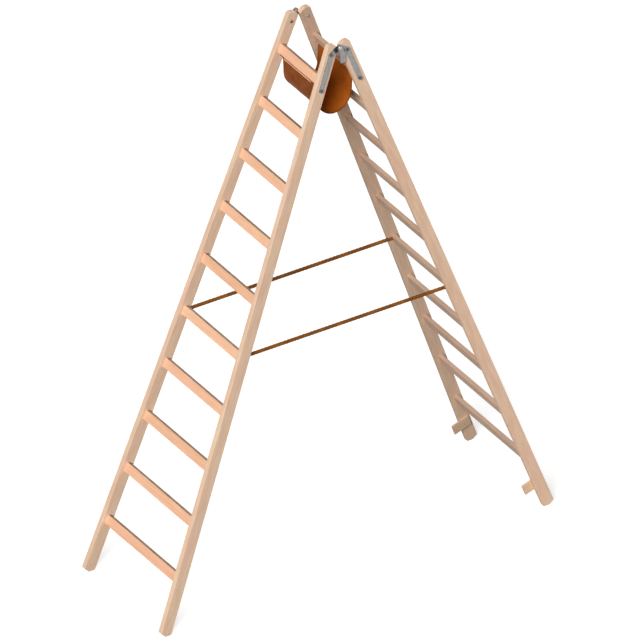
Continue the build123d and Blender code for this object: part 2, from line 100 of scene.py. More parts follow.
# %% Grids to a mesh
def mesh_from_grids(name, grids, along, around):
    """Closed tubes from grids[tube, row, column, xyz], with caps on their first and last rows.

    around[column] and along[row] become the corners' UV pair. around has one entry more than there
    are columns, for the corner where the tube closes.
    """
    tubes, rows, columns, _ = grids.shape
    index = np.arange(tubes * rows * columns).reshape(tubes, rows, columns)
    beside = np.roll(index, -1, axis=2)
    corners = [index[:, :-1], beside[:, :-1], beside[:, 1:], index[:, 1:]]
    faces = np.stack(corners, axis=-1).reshape(-1, 4)
    ends = [*index[:, 0, ::-1].tolist(), *index[:, -1].tolist()]
    mesh = bpy.data.meshes.new(name)
    mesh.from_pydata(grids.reshape(-1, 3).tolist(), [], faces.tolist() + ends)

    shape = (tubes, rows - 1, columns)
    near_row, far_row = along[None, :-1, None], along[None, 1:, None]
    left, right = around[None, None, :-1], around[None, None, 1:]
    pairs = [(left, near_row), (right, near_row), (right, far_row), (left, far_row)]
    filled = [np.broadcast_arrays(u, v, np.empty(shape))[:2] for u, v in pairs]
    uv = np.stack([np.stack(pair, axis=-1) for pair in filled], axis=-2)
    flat_uv = np.zeros((len(mesh.loops), 2), np.float32)
    flat_uv[: faces.size] = uv.reshape(-1, 2)
    mesh.uv_layers.new(name="surface").data.foreach_set("uv", flat_uv.ravel())
    mesh.polygons.foreach_set("use_smooth", np.ones(len(mesh.polygons), bool))
    mesh.update()
    piece = bpy.data.objects.new(name, mesh)
    bpy.context.scene.collection.objects.link(piece)
    return piece


def point_value(piece, name, values):
    """Stores one number for each vertex, for a material to read by its name."""
    attribute = piece.data.attributes.new(name, "FLOAT", "POINT")
    attribute.data.foreach_set("value", np.asarray(values, np.float32).ravel())


def unit(vectors):
    """Vectors divided by their own length."""
    return vectors / np.linalg.norm(vectors, axis=-1, keepdims=True)


print("3, 4, 0 as a unit vector:", unit(np.array([3.0, 4.0, 0.0])))

# %% [markdown]
# ## Folding
# When the ladder closes, the rear end of a rope or of the pouch swings over to the front end.
# Rope and leather go slack then. They could be simulated for one pose, but here one shape has to
# serve at every pose. Each piece goes on the front frame, and the share by which it would have to
# flatten between its two ends as the hinge turns is worked out, though the flattening itself is not
# set up. Let v be the line from front to rear on the open ladder, w the same line on the closed
# one, and d their difference. Flattening the piece along d, by the length of d over the part of v
# along d, carries v over to w.

# %% How far a soft piece would flatten between the frames
fold = frame["joints"][0]
fold_turn = Matrix.Rotation(math.radians(fold["range_deg"][1]), 4, Vector(fold["axis"]))
hinge_point = Vector(fold["pos_m"])


def flatten_with_fold(piece, front_point, rear_point):
    """Puts a piece on the front frame and gives the share of its depth it would keep if flattened to
    follow the rear frame.
    """
    closed_point = hinge_point + fold_turn @ (rear_point - hinge_point)
    travel = rear_point - closed_point
    direction = travel.normalized()
    share = travel.length / (rear_point - front_point).dot(direction)
    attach(piece, "front_frame")
    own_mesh(piece)
    return 1 - share


print("the rear frame closes by", fold["range_deg"][1], "degrees about", hinge_point.to_tuple(3))

# %% [markdown]
# ## Check ropes
# A check rope is three strands laid round each other, nailed into the corner between a rung and a
# stile. A plain cylinder with a striped colour would do from far away, but the strands also make
# the wavy outline. So the rope's line is a smooth spline, and each strand is a tube that winds
# round the points read from it.

# %% Route of a rope
ROPE_DIAMETER = 0.018
ROPE_ENDS = 6 * ROPE_DIAMETER  # straight run out of each fixing


def spline_points(points):
    """Points read from a smooth spline through the ends of a route."""
    curve = bpy.data.curves.new("route", "CURVE")
    curve.dimensions = "3D"
    spline = curve.splines.new("NURBS")
    spline.points.add(len(points) - 1)
    spline.points.foreach_set("co", np.array([[*point, 1.0] for point in points]).ravel())
    spline.order_u = 3
    spline.use_endpoint_u = True
    spline.resolution_u = 64
    route = bpy.data.objects.new("route", curve)
    bpy.context.scene.collection.objects.link(route)
    line = bpy.data.meshes.new_from_object(route)
    found = np.zeros(len(line.vertices) * 3)
    line.vertices.foreach_get("co", found)
    bpy.data.objects.remove(route)
    bpy.data.meshes.remove(line)
    bpy.data.curves.remove(curve)
    return found.reshape(-1, 3)


def rope_route(node):
    """Line of a taut rope: the middle of its solid, from the front rung to the rear rung."""
    low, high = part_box(node)
    middle = (low + high) / 2
    stations = (low.y, low.y + ROPE_ENDS, high.y - ROPE_ENDS, high.y)
    return [Vector((middle.x, y, middle.z)) for y in stations]


routes = {node: rope_route(node) for node in ("near_rope", "far_rope")}
for node, route in routes.items():
    print(node, "runs from", route[0].to_tuple(3), "to", route[-1].to_tuple(3))

# %% Strands of a rope
STRANDS = 3
STRAND_RADIUS = 0.0067
LAY_LENGTH = 0.062  # along the rope for one full turn of a strand
RINGS_PER_TURN = 26
STRAND_SIDES = 14


def laid_strands(line):
    """Grids of the strands round a line.

    At the distance d along the line, the middle of strand k is off the line by the rope's radius less
    the strand's, at the angle 2 pi (d / lay + k / strands). Its round section is square to its slant.
    """
    steps = np.linalg.norm(np.diff(line, axis=0), axis=1)
    distance = np.concatenate([[0.0], np.cumsum(steps)])
    rings = int(distance[-1] / LAY_LENGTH * RINGS_PER_TURN)
    along = np.linspace(0.0, distance[-1], rings)
    centre = np.stack([np.interp(along, distance, line[:, axis]) for axis in range(3)], axis=-1)
    forward = unit(np.gradient(centre, along, axis=0))
    level = unit(np.cross(forward, [0.0, 0.0, 1.0]))
    upright = np.cross(level, forward)

    wind = ROPE_DIAMETER / 2 - STRAND_RADIUS
    strand = np.arange(STRANDS)[:, None, None]
    turn = 2 * math.pi * (along[None, :, None] / LAY_LENGTH + strand / STRANDS)
    outward = np.cos(turn) * level + np.sin(turn) * upright
    sideways = np.cos(turn) * upright - np.sin(turn) * level
    slant = unit(forward + sideways * 2 * math.pi * wind / LAY_LENGTH)
    across = np.cross(slant, outward)
    angle = np.linspace(0.0, 2 * math.pi, STRAND_SIDES, endpoint=False)[:, None]
    section = np.cos(angle) * outward[:, :, None] + np.sin(angle) * across[:, :, None]
    middles = centre + wind * outward
    return middles[:, :, None] + STRAND_RADIUS * section, along, np.cos(angle)


def make_rope(node):
    """One check rope on its line, on the front frame."""
    route = routes[node]
    line = spline_points(route)
    grids, along, crown = laid_strands(line)
    rope = mesh_from_grids(f"{node}_laid", grids, along, np.linspace(0.0, 1.0, STRAND_SIDES + 1))
    point_value(rope, "crown", np.broadcast_to(crown[:, 0], grids.shape[:3]))
    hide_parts(node)
    kept = flatten_with_fold(rope, route[0], route[-1])
    return rope


ropes = [make_rope(node) for node in routes]

# %% [markdown]
# ## Leather pouch
# The pouch is one thick sheet of leather. A narrow flange at each end is nailed up under a top
# rung, and between the two flanges the sheet hangs down in a round sling that is open at its
# sides. It could be a simulated cloth, but thick leather hardly wrinkles, so the sling follows a
# formula: straight wall, round bottom, straight wall. Then a small belly and a little flare at
# the cut sides take away the look of a bent plate.

# %% Line of the sling
LEATHER = 0.0030
LEAN = math.radians(20.0)
FLANGE = 0.0140  # bend to the outer face of the rung
BOTTOM_RADIUS = 0.085
pouch_low, pouch_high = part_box("tool_pouch")
POUCH_WIDTH = pouch_high.x - pouch_low.x
HANG_Y = pouch_high.y - LEATHER / 2 - FLANGE * math.cos(LEAN)  # bends under the two rungs
HANG_Z = pouch_high.z - LEATHER / 2 - FLANGE * math.sin(LEAN)
BOTTOM_CENTRE = pouch_low.z + LEATHER / 2 + BOTTOM_RADIUS

hang_distance = math.hypot(HANG_Y, HANG_Z - BOTTOM_CENTRE)
wall_length = math.sqrt(hang_distance ** 2 - BOTTOM_RADIUS ** 2)
touch_angle = math.atan2(HANG_Z - BOTTOM_CENTRE, HANG_Y) - math.acos(BOTTOM_RADIUS / hang_distance)
arc_length = BOTTOM_RADIUS * (math.pi + 2 * touch_angle)
sling_length = 2 * wall_length + arc_length
print(f"sling: {POUCH_WIDTH:.3f} m wide and {sling_length:.3f} m long between its bends")
print(f"bends: {HANG_Y:.4f} m out on each side and {HANG_Z:.4f} m up")

# %% Soft surface of the sling
BELLY = 0.0045  # the walls swell out by this much
BELLY_PLACE = 0.21  # of the sling's length, from each bend
BELLY_SPREAD = 0.09
FLARE = 0.0022  # the cut sides stand out
SAG = 0.0015  # the middle of the bottom hangs lower than its sides
RIPPLE = 0.0006
RIPPLES_ACROSS = 9.0  # radians over half the width
RIPPLES_DOWN = 31.0  # radians over the sling's length


def sling(distance, side):
    """Middle of the leather at a distance from the front bend and a place from -1 to 1 across.

    Straight walls touch the round bottom at its touch angle. The result is moved along the line's
    own outward normal: by a belly that peaks a fifth of the way from each bend, by a flare that
    grows with the sixth power of the place across, and by a small ripple. It also sags between its
    two cut sides, most at the bottom. All of these fade out at the bends.
    """
    from_end = np.minimum(distance, sling_length - distance)
    mirror = np.where(distance < sling_length / 2, -1.0, 1.0)
    angle = touch_angle - (from_end - wall_length) / BOTTOM_RADIUS
    angle = np.where(from_end < wall_length, touch_angle, angle)
    past = np.maximum(wall_length - from_end, 0.0)
    out = BOTTOM_RADIUS * np.cos(angle) - past * math.sin(touch_angle)
    height = BOTTOM_CENTRE + BOTTOM_RADIUS * np.sin(angle) + past * math.cos(touch_angle)

    share = distance / sling_length
    fade = np.sin(math.pi * share)
    from_bend = from_end / sling_length
    belly = BELLY * np.exp(-((from_bend - BELLY_PLACE) / BELLY_SPREAD) ** 2)
    flare = FLARE * side ** 6 * fade
    waves_across = np.sin(RIPPLES_ACROSS * side + 1.3)
    waves_down = np.sin(RIPPLES_DOWN * share + 2.0 * side)
    ripple = RIPPLE * fade * waves_across * waves_down
    push = belly * np.clip(8 * fade, 0, 1) + flare + ripple
    out = out + push * np.cos(angle)
    height = height + push * np.sin(angle) - SAG * (1 - side ** 2) * fade ** 2
    return np.stack([side * POUCH_WIDTH / 2, mirror * out, height], axis=-1)


lowest = sling(np.array(sling_length / 2), np.array(0.0))
print("lowest point of the sling:", lowest.round(4))

# %% Leather with two sides and round edges
LEATHER_ROWS = 150
LEATHER_COLUMNS = 44
EDGE_STEPS = 5
EDGE_BAND = 0.035  # dark rim, as a share of half the width


def ribbon_section():
    """Closed section of a flat ribbon, with masks of its flesh side and of its two edges.

    Places across and offsets both run from -1 to 1: out along the grain side, half round the cut
    edge, back along the flesh side and round the other edge.
    """
    straight = np.linspace(1.0, -1.0, LEATHER_COLUMNS)
    bend = np.linspace(90.0, -90.0, EDGE_STEPS + 2)[1:-1]
    bulge = LEATHER / POUCH_WIDTH * np.cos(np.radians(bend))
    lift = np.sin(np.radians(bend))
    across = np.concatenate([straight, -1 - bulge, straight[::-1], 1 + bulge])
    offset = np.concatenate([np.ones(LEATHER_COLUMNS), lift, -np.ones(LEATHER_COLUMNS), -lift])
    flesh = (1 - offset) / 2
    edge = np.clip((np.abs(across) - 1 + EDGE_BAND) / EDGE_BAND, 0, 1)
    return across, offset, flesh, edge


def leather_strip(name, surface, start, end, rows):
    """Closed shell of leather, half a thickness to each side of surface(distance, side).

    The normal is the cross product of the surface's two directions, taken from points a hair apart.
    """
    across, offset, flesh, edge = ribbon_section()
    along = np.linspace(start, end, rows)
    distance, side = np.meshgrid(along, across, indexing="ij")
    hair = 1e-4
    down = surface(distance + hair, side) - surface(distance - hair, side)
    over = surface(distance, side + hair) - surface(distance, side - hair)
    normal = unit(np.cross(down, over))
    points = surface(distance, side) + normal * offset[:, None] * LEATHER / 2
    around = np.append(across, across[0]) * POUCH_WIDTH / 2
    piece = mesh_from_grids(name, points[None], along, around)
    point_value(piece, "flesh", np.broadcast_to(flesh, points.shape[:2]))
    point_value(piece, "edge", np.broadcast_to(edge, points.shape[:2]))
    return piece


pouch = leather_strip("pouch_leather", sling, 0.0, sling_length, LEATHER_ROWS)
print(pouch.name, len(pouch.data.polygons), "faces")

# %% [markdown]
# The flanges are the same sheet beyond the bends. They stay flat under the rungs when the ladder
# folds, so each flange is a strip of its own on its own frame, and meets the sling at the bend,
# where the rung and the batten hide the line between them.

# %% Flanges under the rungs
FLANGE_ROWS = 4


def flange_surface(mirror):
    """Flat strip that leaves a bend outwards and climbs with the rung's lower face."""
    def surface(distance, side):
        out = mirror * (HANG_Y + distance * math.cos(LEAN))
        height = HANG_Z + distance * math.sin(LEAN)
        return np.stack([mirror * side * POUCH_WIDTH / 2, out, height], axis=-1)
    return surface


flanges = []
for name, body, mirror in (("front", "front_frame", -1.0), ("rear", "rear_frame", 1.0)):
    strip = leather_strip(f"pouch_{name}_flange", flange_surface(mirror), 0.0, FLANGE, FLANGE_ROWS)
    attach(strip, body)
    flanges.append(strip)

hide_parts("tool_pouch")
pouch_kept = flatten_with_fold(pouch, Vector((0, -HANG_Y, HANG_Z)), Vector((0, HANG_Y, HANG_Z)))
print(f"pouch closes to {pouch_kept:.2f} of its depth")

# %% [markdown]
# ## Small helpers for materials
# A material is a tree of nodes. It could be put together by hand in the editor, but then it could
# not be read here. The helpers in the next cell keep it short to write: they add a node and fill
# its sockets, do sums, ease a value over to another range, mix colours, stretch a pattern and
# read a noise. A value that is itself a socket becomes a link.

# %% Node helpers
NOISE_RANGE = (0.3, 0.7)  # most of a noise lies between these


def add(tree, kind, values=(), **settings):
    """New node with some settings; values fill its input sockets, by name or by number."""
    node = tree.nodes.new(kind)
    for setting, value in settings.items():
        setattr(node, setting, value)
    for socket, value in dict(values).items():
        if isinstance(value, bpy.types.NodeSocket):
            tree.links.new(value, node.inputs[socket])
        else:
            node.inputs[socket].default_value = value
    return node


def sums(tree, operation, *values):
    """Result of a Math node."""
    return add(tree, "ShaderNodeMath", dict(enumerate(values)), operation=operation).outputs[0]


def remap(tree, value, low, high, new_low=0.0, new_high=1.0):
    """Value between low and high, eased over to the new range."""
    sockets = {"Value": value, "From Min": low, "From Max": high, "To Min": new_low, "To Max": new_high}
    return add(tree, "ShaderNodeMapRange", sockets, interpolation_type="SMOOTHSTEP").outputs[0]


def mixed(tree, factor, first, second, blend_type="MIX"):
    """Colour between first and second."""
    sockets = {0: factor, 6: first, 7: second}
    return add(tree, "ShaderNodeMix", sockets, data_type="RGBA", blend_type=blend_type).outputs[2]


def stretched(tree, vector, scale):
    """Vector with its own scale in each direction."""
    return add(tree, "ShaderNodeVectorMath", {0: vector, 1: scale}, operation="MULTIPLY").outputs[0]


def noise(tree, vector, scale, detail=3.0, roughness=0.5):
    """Value of a Noise Texture, about 0.5 on average."""
    sockets = {"Vector": vector, "Scale": scale, "Detail": detail, "Roughness": roughness}
    return add(tree, "ShaderNodeTexNoise", sockets).outputs["Fac"]


print("helpers for nodes are ready")

# %% [markdown]
# An effect that several materials share could be copied into each of them. A node group does it
# once: it is a small tree of its own with named sockets, and each material places it with its own
# values. The shader itself stays in the material.


# %% Groups and materials
def new_group(name, inputs, outputs):
    """Empty node group with named sockets, and the sockets inside it."""
    tree = bpy.data.node_groups.new(name, "ShaderNodeTree")
    for socket, (kind, value) in inputs.items():
        made = tree.interface.new_socket(socket, in_out="INPUT", socket_type=f"NodeSocket{kind}")
        if value is not None:
            made.default_value = value
    for socket, kind in outputs.items():
        tree.interface.new_socket(socket, in_out="OUTPUT", socket_type=f"NodeSocket{kind}")
    return tree, tree.nodes.new("NodeGroupInput").outputs, tree.nodes.new("NodeGroupOutput").inputs


def new_material(name):
    """Empty material, its tree and its shader."""
    material = bpy.data.materials.new(name)
    material.use_nodes = True
    tree = material.node_tree
    shader = tree.nodes["Principled BSDF"]
    return material, tree, shader


def place(tree, group, **values):
    """A group's node in a material; the words of its socket names are joined by underscores here."""
    sockets = {words.replace("_", " "): value for words, value in values.items()}
    return add(tree, "ShaderNodeGroup", sockets, node_tree=group).outputs


print("helpers for groups and materials are ready")

# %% [markdown]
# ## Edges, shaded on wood and worn on steel
# The edges of wood are painted darker, as painted shade along them, and the edges of plated steel
# are bared by wear. The mask could be painted on each mesh. Here a Bevel node looks round the
# corner of the surface: where its softened normal leaves the true one, there is an edge. A little
# noise breaks the line up, as wear on steel is never even.

# %% Group for edges, shaded on wood and worn on steel
EDGE_STARTS = 0.995  # cosine of the turn between the two normals
EDGE_FULL = 0.86


def make_edge_wear_and_shade():
    """Mask of the edges within a width, broken up by patches."""
    inputs = {"Vector": ("Vector", None), "Width": ("Float", 0.002), "Patches": ("Float", 60.0)}
    tree, given, result = new_group("edge wear and shade", inputs, {"Edge": "Float"})
    softened = add(tree, "ShaderNodeBevel", {"Radius": given["Width"]}, samples=4)
    true = add(tree, "ShaderNodeNewGeometry")
    normals = {0: softened.outputs[0], 1: true.outputs["Normal"]}
    alike = add(tree, "ShaderNodeVectorMath", normals, operation="DOT_PRODUCT").outputs["Value"]
    corner = remap(tree, alike, EDGE_STARTS, EDGE_FULL)
    patches = remap(tree, noise(tree, given["Vector"], given["Patches"]), 0.32, 0.62)
    tree.links.new(sums(tree, "MULTIPLY", corner, patches), result["Edge"])
    return tree


edge_wear_and_shade = make_edge_wear_and_shade()
print("group", edge_wear_and_shade.name)

# %% [markdown]
# ## Wood
# The frames are planed pale hardwood with a fine, straight grain. In a board, the rings of the
# tree are sleeves round a pith that lies outside the board, so a planed face cuts them in long
# stripes and arches. A flat pattern could be laid on each face, but it would not go on round the
# corner. So the group below draws the sleeves through the whole board, with a Wave Texture in
# rings, after bending its coordinates a little. It adds fibres, which are noise stretched along
# the grain, short dark flecks, a soft mottle, and streaks that lean to pink or to yellow. Sawn
# ends are blotchy, because they drink more dirt and oil. The third coordinate of the vector that
# goes in runs along the grain, so each board only has to be turned to it.

# %% Group for wood
PINK_TINT = (1.0, 0.91, 0.93, 1.0)
YELLOW_TINT = (0.98, 1.0, 0.93, 1.0)

# Scales of the patterns: twice across the grain, then along it
WANDER_SCALE = (7, 7, 0.8)
SLEEVE_SCALE = (1.0, 1.0, 0.05)
FIBRE_SCALE = (480, 480, 7)
BOARD_SCALE = (4.5, 4.5, 0.35)
FLECK_SCALE = (900, 900, 110)
STREAK_SCALE = (150, 150, 3.0)
MOTTLE_SCALE = (60, 60, 9.0)
BLOTCH_SCALE = 110.0  # on sawn ends, alike in all directions
WANDER_REACH = (0.030, 0.030, 0.0)  # metres by which the rings wander

# How far each pattern moves the colour from early to late wood
LATE_SHARE = 0.30
FIBRE_SHARE = 0.75
FLECK_SHARE = 0.34
BOARD_SHARES = (-0.24, 0.12)
MOTTLE_SHARES = (-0.20, 0.20)
BLOTCH_SHARES = (-0.45, 0.35)


def make_wood_figure():
    """Rings, fibres and flecks, with the grain along the third coordinate of the vector."""
    inputs = {
        "Vector": ("Vector", None),
        "Early Wood": ("Color", None),
        "Late Wood": ("Color", None),
        "Rings": ("Float", 60.0),
        "End Grain": ("Float", 0.0),
    }
    outputs = {"Color": "Color", "Roughness": "Float", "Height": "Float"}
    tree, given, result = new_group("wood figure", inputs, outputs)
    vector = given["Vector"]
    slow = {"Vector": stretched(tree, vector, WANDER_SCALE), "Scale": 1.0, "Detail": 2.0}
    wander = add(tree, "ShaderNodeTexNoise", slow).outputs["Color"]
    shift = stretched(tree, wander, WANDER_REACH)
    bent = add(tree, "ShaderNodeVectorMath", {0: vector, 1: shift}, operation="ADD").outputs[0]
    sleeves = {
        "Vector": stretched(tree, bent, SLEEVE_SCALE), "Scale": given["Rings"],
        "Distortion": 2.4, "Detail": 2.0, "Detail Scale": 0.8,
    }
    shape = {"wave_type": "RINGS", "rings_direction": "Z", "wave_profile": "SAW"}
    rings = add(tree, "ShaderNodeTexWave", sleeves, **shape).outputs["Fac"]
    late = remap(tree, rings, 0.30, 1.0)
    fibre = noise(tree, stretched(tree, vector, FIBRE_SCALE), 1.0, 5.0, 0.7)
    board = noise(tree, stretched(tree, vector, BOARD_SCALE), 1.0, 1.0)
    speckle = noise(tree, stretched(tree, vector, FLECK_SCALE), 1.0, 1.0)
    fleck = remap(tree, speckle, 0.64, 0.72)
    streak = noise(tree, stretched(tree, vector, STREAK_SCALE), 1.0, 2.0, 0.6)
    mottle = noise(tree, stretched(tree, vector, MOTTLE_SCALE), 1.0, 3.0, 0.6)

    share = sums(tree, "MULTIPLY_ADD", late, LATE_SHARE, sums(tree, "MULTIPLY", fibre, FIBRE_SHARE))
    share = sums(tree, "ADD", share, remap(tree, board, *NOISE_RANGE, *BOARD_SHARES))
    share = sums(tree, "ADD", share, remap(tree, mottle, *NOISE_RANGE, *MOTTLE_SHARES))
    share = sums(tree, "MULTIPLY_ADD", fleck, FLECK_SHARE, share)
    blotches = remap(tree, noise(tree, vector, BLOTCH_SCALE), 0.35, 0.65, *BLOTCH_SHARES)
    share = sums(tree, "MULTIPLY_ADD", given["End Grain"], blotches, share)
    colour = mixed(tree, share, given["Early Wood"], given["Late Wood"])
    tint = mixed(tree, remap(tree, streak, 0.34, 0.66), PINK_TINT, YELLOW_TINT)
    tree.links.new(mixed(tree, 1.0, colour, tint, "MULTIPLY"), result["Color"])
    tree.links.new(remap(tree, fibre, *NOISE_RANGE, 0.46, 0.60), result["Roughness"])
    height = sums(tree, "MULTIPLY_ADD", fibre, 0.6, sums(tree, "MULTIPLY", late, 0.4))
    tree.links.new(sums(tree, "MULTIPLY_ADD", fleck, -0.5, height), result["Height"])
    return tree


wood_figure = make_wood_figure()
print("group", wood_figure.name)

# %% [markdown]
# One wood for all would let the grain run across some of the boards, so every board gets its own
# turn. The stiles lean by 20 degrees and taper inwards by 3, the rungs lie along X, and the guide
# blocks stand square to their stiles. End grain is where the surface faces along the board: the
# normal is turned in the same way, and its third coordinate says how much. Its first coordinate
# finds the treads, which are the upper faces of the rungs. The treads of the front frame are
# painted darker, as painted shade, and made rougher. Each stile and each block is lightened or
# darkened by its own factor, as painted light and shade, which its sawn ends don't share; the far
# rear stile and the far block are painted darkest. The rear rungs are painted a darker, greyer
# wood than the front ones, as painted shade.

# %% Wood for one direction of grain
RINGS = 66.0
# Painted shade: the treads of the front frame are darkened with this tint.
TREAD_SHADE_TINT = (0.358, 0.428, 0.482, 1.0)
# Painted shade: the edges of every board are darkened with this tint.
EDGE_SHADE_TINT = (0.72, 0.75, 0.78, 1.0)
EDGE_SHADE_BAND = {"Width": 0.0022, "Patches": 38.0}
TREAD_PATCH_SCALE = 26.0
END_FACES = (0.55, 0.90)  # how far a sawn end looks along the grain
TREAD_FACES = (-0.60, -0.95)  # how far a tread looks up, in the turned frame
FIBRE_DEPTH = 0.0004


def wood(name, turn, shift, early, late, tone=1.0, shaded_treads=False):
    """Planed wood whose grain runs along the axis that the turn brings upright."""
    material, tree, shader = new_material(name)
    coordinates = add(tree, "ShaderNodeTexCoord").outputs
    placed = {"Vector": coordinates["Object"], "Rotation": turn, "Location": shift}
    vector = add(tree, "ShaderNodeMapping", placed, vector_type="POINT").outputs[0]
    turned = {"Vector": coordinates["Normal"], "Rotation": turn}
    facing = add(tree, "ShaderNodeMapping", turned, vector_type="VECTOR").outputs[0]
    parts = add(tree, "ShaderNodeSeparateXYZ", {0: facing}).outputs
    end_grain = remap(tree, sums(tree, "ABSOLUTE", parts["Z"]), *END_FACES)
    tones = {"Early_Wood": early, "Late_Wood": late}
    figure = place(tree, wood_figure, Vector=vector, Rings=RINGS, End_Grain=end_grain, **tones)
    planed = sums(tree, "SUBTRACT", 1.0, end_grain)
    # Painted light and shade: the planed faces take the board's lightening or darkening factor.
    colour = mixed(tree, planed, figure["Color"], (tone, tone, tone, 1.0), "MULTIPLY")
    # Painted shade along the edges of the board.
    edge = place(tree, edge_wear_and_shade, Vector=coordinates["Object"], **EDGE_SHADE_BAND)["Edge"]
    colour = mixed(tree, edge, colour, EDGE_SHADE_TINT, "MULTIPLY")
    rough = sums(tree, "MULTIPLY_ADD", edge, -0.10, figure["Roughness"])
    # Painted shade: the upper faces of the front rungs are darkened, and also made rougher.
    if shaded_treads:
        upward = remap(tree, parts["X"], *TREAD_FACES)
        tread_noise = noise(tree, coordinates["Object"], TREAD_PATCH_SCALE)
        tread_patches = remap(tree, tread_noise, *NOISE_RANGE, 0.80, 1.0)
        tread_shade = sums(tree, "MULTIPLY", upward, tread_patches)
        colour = mixed(tree, tread_shade, colour, TREAD_SHADE_TINT, "MULTIPLY")
        rough = sums(tree, "MULTIPLY_ADD", tread_shade, 0.40, rough)
    relief = {"Height": figure["Height"], "Strength": 0.25, "Distance": FIBRE_DEPTH}
    bump = add(tree, "ShaderNodeBump", relief)
    tree.links.new(colour, shader.inputs["Base Color"])
    tree.links.new(rough, shader.inputs["Roughness"])
    tree.links.new(bump.outputs[0], shader.inputs["Normal"])
    shader.inputs["Specular IOR Level"].default_value = 0.10
    return material


print("ring scale of the wood", RINGS)

# %% Wood for every board
TAPER = math.radians(3.08)
RUNG_COUNT = 10
STILE_PITH = (0.055, 0.040)  # pith beside and behind a stile
RUNG_PITH = (0.03, 0.05, 0.0)
BLOCK_PITH = (0.02, 0.03, 0.0)
STILE_EARLY = (0.880, 0.672, 0.508, 1.0)
STILE_LATE = (0.712, 0.472, 0.333, 1.0)
# Painted shade: the rear rungs are a darker, greyer copy of the front rungs' wood.
RUNG_EARLY = {"front": (0.950, 0.602, 0.415, 1.0), "rear": (0.580, 0.425, 0.322, 1.0)}
RUNG_LATE = {"front": (0.795, 0.442, 0.270, 1.0), "rear": (0.455, 0.305, 0.222, 1.0)}
BLOCK_EARLY = (0.760, 0.560, 0.400, 1.0)
BLOCK_LATE = (0.580, 0.390, 0.260, 1.0)
# Painted light and shade: each stile and block is lightened or darkened by its own factor.
STILE_SHADE_FACTOR = {"front near": 1.0, "front far": 0.96, "rear near": 1.03, "rear far": 0.74}
BLOCK_SHADE_FACTOR = {"near": 1.05, "far": 0.80}

dressed = {}
for end, lean in (("front", LEAN), ("rear", -LEAN)):
    for side, taper in (("near", TAPER), ("far", -TAPER)):
        board = f"{end} {side}"
        pith = (math.copysign(STILE_PITH[0], taper), math.copysign(STILE_PITH[1], lean), 0.0)
        dressed[f"{end}_{side}_stile"] = wood(
            f"{board} stile wood", (lean, taper, 0), pith, STILE_EARLY, STILE_LATE, STILE_SHADE_FACTOR[board],
        )
    rung_wood = wood(
        f"{end} rung wood", (lean, -math.pi / 2, 0), RUNG_PITH, RUNG_EARLY[end], RUNG_LATE[end],
        shaded_treads=end == "front",
    )
    for number in range(1, RUNG_COUNT + 1):
        dressed[f"{end}_rung_{number:02d}"] = rung_wood
    dressed[f"{end}_pouch_batten"] = rung_wood
outwards = (math.pi / 2 - LEAN, 0, 0)
for side, tone in BLOCK_SHADE_FACTOR.items():
    dressed[f"{side}_guide_block"] = wood(
        f"{side} guide block wood", outwards, BLOCK_PITH, BLOCK_EARLY, BLOCK_LATE, tone,
    )
print("wooden pieces:", len(dressed))

# %% [markdown]
# ## Steel
# The hinge straps are zinc plated: a soft grey metal with faint cloudy patches and fine scratches
# that run down the strap. One even grey would look like paint. Metal shows its surroundings, so
# its detail lies mostly in the roughness, and one function makes every finish from two tones. On
# the near side, the flat plate is painted near black round its pin. The pins are bright turned
# steel, the round heads inside the frames have a brown tarnish, nuts, coach screws and washers
# are dark, and the nails are plain wire.

# %% Group for patches and scratches
SCRATCH_SCALE = (900, 900, 26)


def make_plating():
    """Cloudy patches of zinc, and fine scratches that run upright."""
    inputs = {"Vector": ("Vector", None), "Patch Scale": ("Float", 120.0)}
    tree, given, result = new_group("plating", inputs, {"Patches": "Float", "Scratches": "Float"})
    sockets = {"Vector": given["Vector"], "Scale": given["Patch Scale"]}
    cells = add(tree, "ShaderNodeTexVoronoi", sockets, feature="SMOOTH_F1")
    cloud = noise(tree, given["Vector"], given["Patch Scale"], 4.0)
    half_cloud = sums(tree, "MULTIPLY", cloud, 0.5)
    patches = sums(tree, "MULTIPLY_ADD", cells.outputs["Distance"], 0.5, half_cloud)
    fine = noise(tree, stretched(tree, given["Vector"], SCRATCH_SCALE), 1.0, 2.0)
    tree.links.new(patches, result["Patches"])
    tree.links.new(remap(tree, fine, 0.60, 0.72), result["Scratches"])
    return tree


plating = make_plating()
print("group", plating.name)

# %% Steel finishes
# A ragged patch of the flat plate round the pin is painted near black.
DARK_PATCH_REACH = 0.046  # from the hinge axis
DARK_PATCH_WANDER = 0.016
DARK_PATCH_BLACK = (0.020, 0.019, 0.018, 1.0)
BARE_STEEL = (0.75, 0.76, 0.78, 1.0)
BARED_EDGE = {"Width": 0.0009, "Patches": 90.0}


